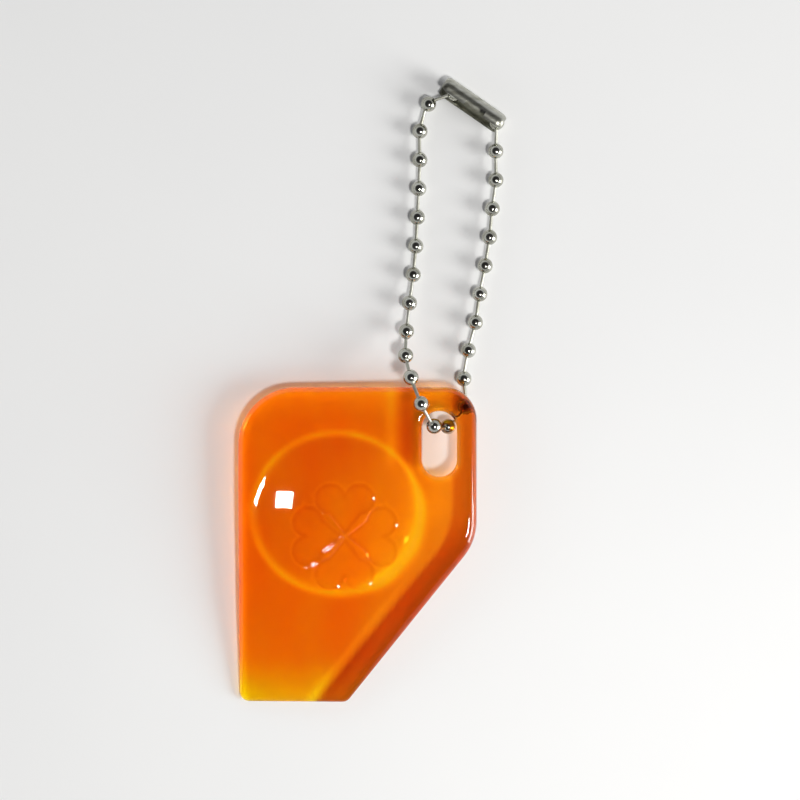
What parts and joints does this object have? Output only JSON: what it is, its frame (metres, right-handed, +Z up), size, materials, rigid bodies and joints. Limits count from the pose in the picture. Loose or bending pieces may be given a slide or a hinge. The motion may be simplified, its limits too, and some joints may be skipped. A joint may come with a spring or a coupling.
{
  "type": "wedge-tip training whistle tag on ball chain",
  "caption": "Translucent orange moulded tag with a bevelled tip, a thumb dish with a clover relief and a slot threaded by a ball-chain loop closed by a folded coupling.",
  "frame": {"origin": "centre of the whole part's footprint, on the surface it lies on", "axes": "+Z up from the surface, +Y from the tag's tip towards the coupling, +X to the side of the tag that the slot is on"},
  "size_m": [0.0416, 0.0968, 0.0093],
  "materials": {
    "tag_plastic": "glossy, translucent",
    "chain_nickel": "nickel plated",
    "coupling_steel": "nickel plated"
  },
  "bodies": {
    "tag": {"tag_body": "tag_plastic"},
    "chain_in_slot": {"bead_12": "chain_nickel", "bead_13": "chain_nickel", "bead_14": "chain_nickel", "bead_15": "chain_nickel", "bead_16": "chain_nickel", "link_12": "chain_nickel", "link_13": "chain_nickel", "link_14": "chain_nickel", "link_15": "chain_nickel"},
    "link_11": {"link_11": "chain_nickel"},
    "bead_11": {"bead_11": "chain_nickel"},
    "link_10": {"link_10": "chain_nickel"},
    "bead_10": {"bead_10": "chain_nickel"},
    "link_16": {"link_16": "chain_nickel"},
    "bead_17": {"bead_17": "chain_nickel"},
    "link_17": {"link_17": "chain_nickel"},
    "bead_18": {"bead_18": "chain_nickel"},
    "link_9": {"link_9": "chain_nickel"},
    "bead_9": {"bead_9": "chain_nickel"},
    "link_18": {"link_18": "chain_nickel"},
    "bead_19": {"bead_19": "chain_nickel"},
    "link_8": {"link_8": "chain_nickel"},
    "bead_8": {"bead_8": "chain_nickel"},
    "link_19": {"link_19": "chain_nickel"},
    "bead_20": {"bead_20": "chain_nickel"},
    "link_7": {"link_7": "chain_nickel"},
    "bead_7": {"bead_7": "chain_nickel"},
    "link_20": {"link_20": "chain_nickel"},
    "bead_21": {"bead_21": "chain_nickel"},
    "link_6": {"link_6": "chain_nickel"},
    "bead_6": {"bead_6": "chain_nickel"},
    "link_21": {"link_21": "chain_nickel"},
    "bead_22": {"bead_22": "chain_nickel"},
    "link_5": {"link_5": "chain_nickel"},
    "bead_5": {"bead_5": "chain_nickel"},
    "link_22": {"link_22": "chain_nickel"},
    "bead_23": {"bead_23": "chain_nickel"},
    "link_4": {"link_4": "chain_nickel"},
    "bead_4": {"bead_4": "chain_nickel"},
    "link_23": {"link_23": "chain_nickel"},
    "bead_24": {"bead_24": "chain_nickel"},
    "link_3": {"link_3": "chain_nickel"},
    "bead_3": {"bead_3": "chain_nickel"},
    "link_24": {"link_24": "chain_nickel"},
    "bead_25": {"bead_25": "chain_nickel"},
    "link_2": {"link_2": "chain_nickel"},
    "bead_2": {"bead_2": "chain_nickel"},
    "link_25": {"link_25": "chain_nickel"},
    "bead_26": {"bead_26": "chain_nickel"},
    "link_1": {"link_1": "chain_nickel"},
    "bead_1": {"bead_1": "chain_nickel"},
    "coupling_sleeve": {"coupling_sleeve": "coupling_steel"}
  },
  "joints": [
    {"name": "chain_swing", "type": "hinge", "parent": "tag", "child": "chain_in_slot", "pos_m": [0.01043, -0.00144, 0.00413], "axis": [0.9974, 0, 0.0715], "range_deg": [0, 18]},
    {"name": "link_11_wiggle", "type": "hinge", "parent": "chain_in_slot", "child": "link_11", "pos_m": [0.00579, 0.00244, 0.00711], "axis": [0, 0, 1], "range_deg": [-6, 6]},
    {"name": "bead_11_turn", "type": "hinge", "parent": "link_11", "child": "bead_11", "pos_m": [0.00521, 0.00477, 0.00502], "axis": [0, 0, 1], "range_deg": [-6, 6]},
    {"name": "link_10_wiggle", "type": "hinge", "parent": "bead_11", "child": "link_10", "pos_m": [0.00512, 0.00579, 0.00424], "axis": [0, 0, 1], "range_deg": [-6, 6]},
    {"name": "bead_10_turn", "type": "hinge", "parent": "link_10", "child": "bead_10", "pos_m": [0.00526, 0.00845, 0.00251], "axis": [0, 0, 1], "range_deg": [-6, 6]},
    {"name": "link_16_wiggle", "type": "hinge", "parent": "chain_in_slot", "child": "link_16", "pos_m": [0.0147, -0.00206, 0.00114], "axis": [0, 0, 1], "range_deg": [-6, 2]},
    {"name": "bead_17_turn", "type": "hinge", "parent": "link_16", "child": "bead_17", "pos_m": [0.0142, 0.00108, 0.00119], "axis": [0, 0, 1], "range_deg": [-2, 6]},
    {"name": "link_17_wiggle", "type": "hinge", "parent": "bead_17", "child": "link_17", "pos_m": [0.01422, 0.00237, 0.00122], "axis": [0, 0, 1], "range_deg": [-2, 6]},
    {"name": "bead_18_turn", "type": "hinge", "parent": "link_17", "child": "bead_18", "pos_m": [0.01477, 0.0055, 0.00127], "axis": [0, 0, 1], "range_deg": [-6, 2]},
    {"name": "link_9_lift", "type": "hinge", "parent": "bead_10", "child": "link_9", "pos_m": [0.00535, 0.00967, 0.00208], "axis": [0.9945, -0.1045, 0], "range_deg": [0, 17]},
    {"name": "bead_9_level", "type": "hinge", "parent": "link_9", "child": "bead_9", "pos_m": [0.00568, 0.01281, 0.00175], "axis": [0.9945, -0.1045, 0], "range_deg": [-17, 0]},
    {"name": "link_18_lift", "type": "hinge", "parent": "bead_18", "child": "link_18", "pos_m": [0.01505, 0.00676, 0.00128], "axis": [0.9659, -0.2588, 0], "range_deg": [0, 17]},
    {"name": "bead_19_level", "type": "hinge", "parent": "link_18", "child": "bead_19", "pos_m": [0.01587, 0.00983, 0.00128], "axis": [0.9659, -0.2588, 0], "range_deg": [-17, 0]},
    {"name": "link_8_sway", "type": "hinge", "parent": "bead_9", "child": "link_8", "pos_m": [0.00584, 0.01409, 0.00162], "axis": [0, 0, 1], "range_deg": [-15, 15]},
    {"name": "bead_8_level", "type": "hinge", "parent": "link_8", "child": "bead_8", "pos_m": [0.00628, 0.01722, 0.00134], "axis": [0, 0, 1], "range_deg": [-15, 15]},
    {"name": "link_19_sway", "type": "hinge", "parent": "bead_19", "child": "link_19", "pos_m": [0.01613, 0.01109, 0.00128], "axis": [0, 0, 1], "range_deg": [-15, 15]},
    {"name": "bead_20_level", "type": "hinge", "parent": "link_19", "child": "bead_20", "pos_m": [0.01657, 0.01424, 0.00128], "axis": [0, 0, 1], "range_deg": [-15, 15]},
    {"name": "link_7_lift", "type": "hinge", "parent": "bead_8", "child": "link_7", "pos_m": [0.00643, 0.0185, 0.00128], "axis": [0.9962, -0.0872, 0], "range_deg": [0, 20]},
    {"name": "bead_7_level", "type": "hinge", "parent": "link_7", "child": "bead_7", "pos_m": [0.0067, 0.02167, 0.00122], "axis": [0.9962, -0.0872, 0], "range_deg": [-20, 0]},
    {"name": "link_20_lift", "type": "hinge", "parent": "bead_20", "child": "link_20", "pos_m": [0.01678, 0.01552, 0.00128], "axis": [0.9816, -0.1908, 0], "range_deg": [0, 20]},
    {"name": "bead_21_level", "type": "hinge", "parent": "link_20", "child": "bead_21", "pos_m": [0.01739, 0.01864, 0.00128], "axis": [0.9816, -0.1908, 0], "range_deg": [-20, 0]},
    {"name": "link_6_lift", "type": "hinge", "parent": "bead_7", "child": "link_6", "pos_m": [0.00679, 0.02296, 0.00121], "axis": [0.9986, -0.0523, 0], "range_deg": [0, 20]},
    {"name": "bead_6_level", "type": "hinge", "parent": "link_6", "child": "bead_6", "pos_m": [0.00696, 0.02613, 0.00121], "axis": [0.9986, -0.0523, 0], "range_deg": [-20, 0]},
    {"name": "link_21_lift", "type": "hinge", "parent": "bead_21", "child": "link_21", "pos_m": [0.01761, 0.01991, 0.00128], "axis": [0.9877, -0.1564, 0], "range_deg": [0, 20]},
    {"name": "bead_22_level", "type": "hinge", "parent": "link_21", "child": "bead_22", "pos_m": [0.01811, 0.02305, 0.00128], "axis": [0.9877, -0.1564, 0], "range_deg": [-20, 0]},
    {"name": "link_5_sway", "type": "hinge", "parent": "bead_6", "child": "link_5", "pos_m": [0.00703, 0.02742, 0.00121], "axis": [0, 0, 1], "range_deg": [-15, 15]},
    {"name": "bead_5_level", "type": "hinge", "parent": "link_5", "child": "bead_5", "pos_m": [0.00719, 0.0306, 0.00121], "axis": [0, 0, 1], "range_deg": [-15, 15]},
    {"name": "link_22_sway", "type": "hinge", "parent": "bead_22", "child": "link_22", "pos_m": [0.01827, 0.02433, 0.00128], "axis": [0, 0, 1], "range_deg": [-15, 15]},
    {"name": "bead_23_level", "type": "hinge", "parent": "link_22", "child": "bead_23", "pos_m": [0.01855, 0.0275, 0.00128], "axis": [0, 0, 1], "range_deg": [-15, 15]},
    {"name": "link_4_lift", "type": "hinge", "parent": "bead_5", "child": "link_4", "pos_m": [0.00725, 0.03188, 0.00121], "axis": [0.9994, -0.0349, 0], "range_deg": [0, 20]},
    {"name": "bead_4_level", "type": "hinge", "parent": "link_4", "child": "bead_4", "pos_m": [0.00736, 0.03506, 0.00121], "axis": [0.9994, -0.0349, 0], "range_deg": [-20, 0]},
    {"name": "link_23_lift", "type": "hinge", "parent": "bead_23", "child": "link_23", "pos_m": [0.01869, 0.02878, 0.00128], "axis": [0.9903, -0.1392, 0], "range_deg": [0, 20]},
    {"name": "bead_24_level", "type": "hinge", "parent": "link_23", "child": "bead_24", "pos_m": [0.01913, 0.03193, 0.00128], "axis": [0.9903, -0.1392, 0], "range_deg": [-20, 0]},
    {"name": "link_3_sway", "type": "hinge", "parent": "bead_4", "child": "link_3", "pos_m": [0.00737, 0.03635, 0.00121], "axis": [0, 0, 1], "range_deg": [-15, 15]},
    {"name": "bead_3_level", "type": "hinge", "parent": "link_3", "child": "bead_3", "pos_m": [0.00732, 0.03953, 0.00121], "axis": [0, 0, 1], "range_deg": [-15, 15]},
    {"name": "link_24_sway", "type": "hinge", "parent": "bead_24", "child": "link_24", "pos_m": [0.01921, 0.03321, 0.00131], "axis": [0, 0, 1], "range_deg": [-15, 15]},
    {"name": "bead_25_level", "type": "hinge", "parent": "link_24", "child": "bead_25", "pos_m": [0.01916, 0.03639, 0.00142], "axis": [0, 0, 1], "range_deg": [-15, 15]},
    {"name": "link_2_lift", "type": "hinge", "parent": "bead_3", "child": "link_2", "pos_m": [0.00747, 0.04081, 0.00123], "axis": [0.9659, -0.2588, 0], "range_deg": [0, 12]},
    {"name": "bead_2_level", "type": "hinge", "parent": "link_2", "child": "bead_2", "pos_m": [0.0083, 0.04388, 0.00134], "axis": [0.9659, -0.2588, 0], "range_deg": [-12, 0]},
    {"name": "link_25_lift", "type": "hinge", "parent": "bead_25", "child": "link_25", "pos_m": [0.01917, 0.03768, 0.00148], "axis": [0.9994, -0.0349, 0], "range_deg": [0, 12]},
    {"name": "bead_26_level", "type": "hinge", "parent": "link_25", "child": "bead_26", "pos_m": [0.01928, 0.04085, 0.00171], "axis": [0.9994, -0.0349, 0], "range_deg": [-12, 0]},
    {"name": "link_1_spin", "type": "hinge", "parent": "bead_2", "child": "link_1", "pos_m": [0.00918, 0.04482, 0.00142], "axis": [-0.9487, -0.3083, -0.0698], "continuous": true},
    {"name": "bead_1_spin", "type": "hinge", "parent": "link_1", "child": "bead_1", "pos_m": [0.0122, 0.0458, 0.00164], "axis": [-0.9487, -0.3083, -0.0698], "continuous": true},
    {"name": "coupling_roll", "type": "hinge", "parent": "bead_26", "child": "coupling_sleeve", "pos_m": [0.0193, 0.04149, 0.00175], "axis": [0.8216, -0.57, 0.008], "range_deg": [-5, 40]}
  ],
  "couplings": [
    {"joint": "bead_11_turn", "follows": "link_11_wiggle", "ratio": -1},
    {"joint": "link_10_wiggle", "follows": "link_11_wiggle", "ratio": -0.874},
    {"joint": "bead_10_turn", "follows": "link_11_wiggle", "ratio": 0.874},
    {"joint": "bead_17_turn", "follows": "link_16_wiggle", "ratio": -1},
    {"joint": "link_17_wiggle", "follows": "link_16_wiggle", "ratio": -1},
    {"joint": "bead_18_turn", "follows": "link_16_wiggle", "ratio": 1},
    {"joint": "bead_9_level", "follows": "link_9_lift", "ratio": -1},
    {"joint": "link_18_lift", "follows": "link_9_lift", "ratio": 1},
    {"joint": "bead_19_level", "follows": "link_9_lift", "ratio": -1},
    {"joint": "bead_8_level", "follows": "link_8_sway", "ratio": -1},
    {"joint": "link_19_sway", "follows": "link_8_sway", "ratio": 1},
    {"joint": "bead_20_level", "follows": "link_8_sway", "ratio": -1},
    {"joint": "bead_7_level", "follows": "link_7_lift", "ratio": -1},
    {"joint": "link_20_lift", "follows": "link_7_lift", "ratio": 1},
    {"joint": "bead_21_level", "follows": "link_7_lift", "ratio": -1},
    {"joint": "bead_6_level", "follows": "link_6_lift", "ratio": -1},
    {"joint": "link_21_lift", "follows": "link_6_lift", "ratio": 1},
    {"joint": "bead_22_level", "follows": "link_6_lift", "ratio": -1},
    {"joint": "bead_5_level", "follows": "link_5_sway", "ratio": -1},
    {"joint": "link_22_sway", "follows": "link_5_sway", "ratio": 1},
    {"joint": "bead_23_level", "follows": "link_5_sway", "ratio": -1},
    {"joint": "bead_4_level", "follows": "link_4_lift", "ratio": -1},
    {"joint": "link_23_lift", "follows": "link_4_lift", "ratio": 1},
    {"joint": "bead_24_level", "follows": "link_4_lift", "ratio": -1},
    {"joint": "bead_3_level", "follows": "link_3_sway", "ratio": -1},
    {"joint": "link_24_sway", "follows": "link_3_sway", "ratio": 1},
    {"joint": "bead_25_level", "follows": "link_3_sway", "ratio": -1},
    {"joint": "bead_2_level", "follows": "link_2_lift", "ratio": -1},
    {"joint": "link_25_lift", "follows": "link_2_lift", "ratio": 1},
    {"joint": "bead_26_level", "follows": "link_2_lift", "ratio": -1}
  ]
}
